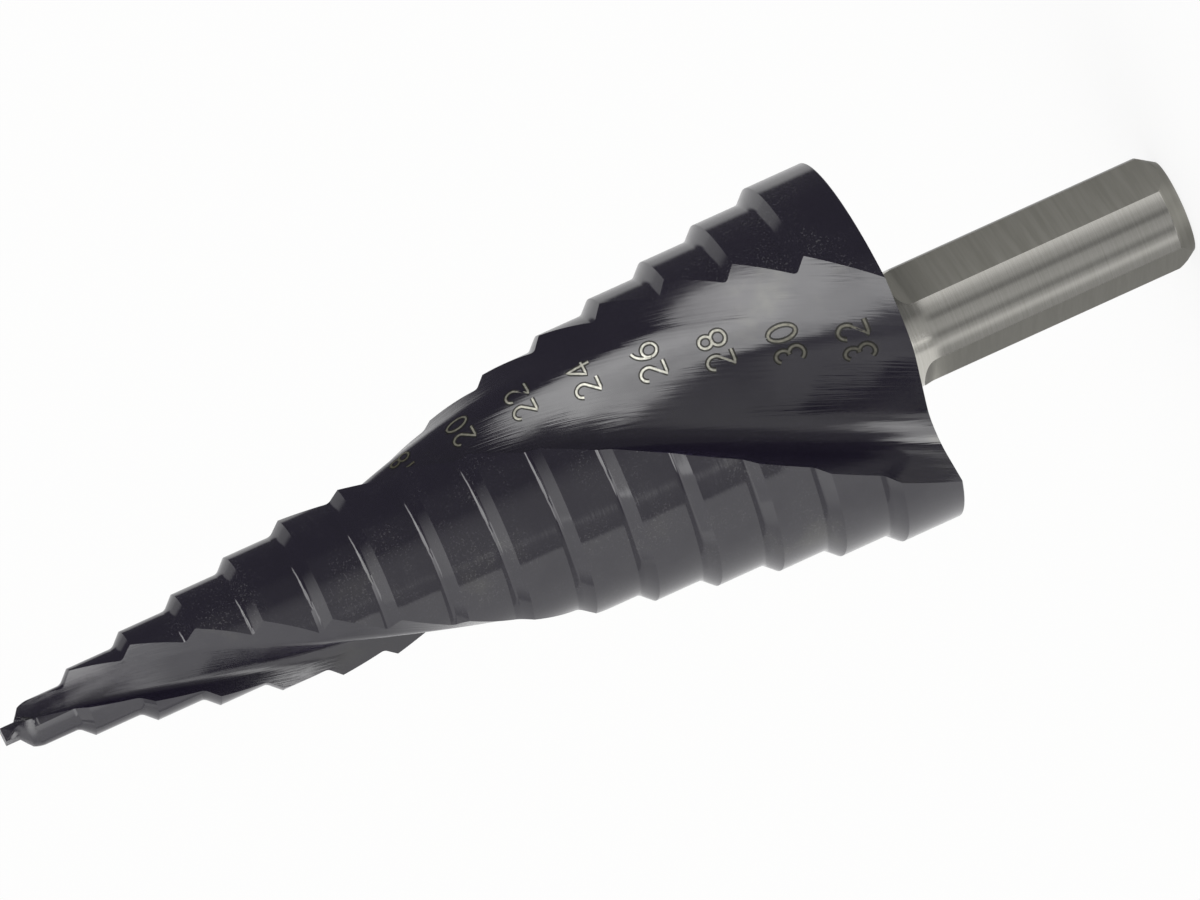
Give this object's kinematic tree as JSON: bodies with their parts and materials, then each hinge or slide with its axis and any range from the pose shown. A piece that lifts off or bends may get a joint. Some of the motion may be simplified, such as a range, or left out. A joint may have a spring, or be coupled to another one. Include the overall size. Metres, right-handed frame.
{
  "type": "step drill",
  "caption": "Stepped cone drill with right-hand spiral flutes, a split point and a flatted round shank, for opening round holes of stepped sizes in sheet metal.",
  "frame": {"origin": "centre of the shank's end face, on the drill's axis", "axes": "+Z along the axis from the shank's end up to the point; the step sizes on the flute face -Y"},
  "size_m": [0.032, 0.0308, 0.1073],
  "materials": {
    "coated_steel": "dark coated high-speed steel, bare ground steel on the shank"
  },
  "bodies": {
    "root": {"step_drill": "coated_steel"}
  },
  "joints": []
}
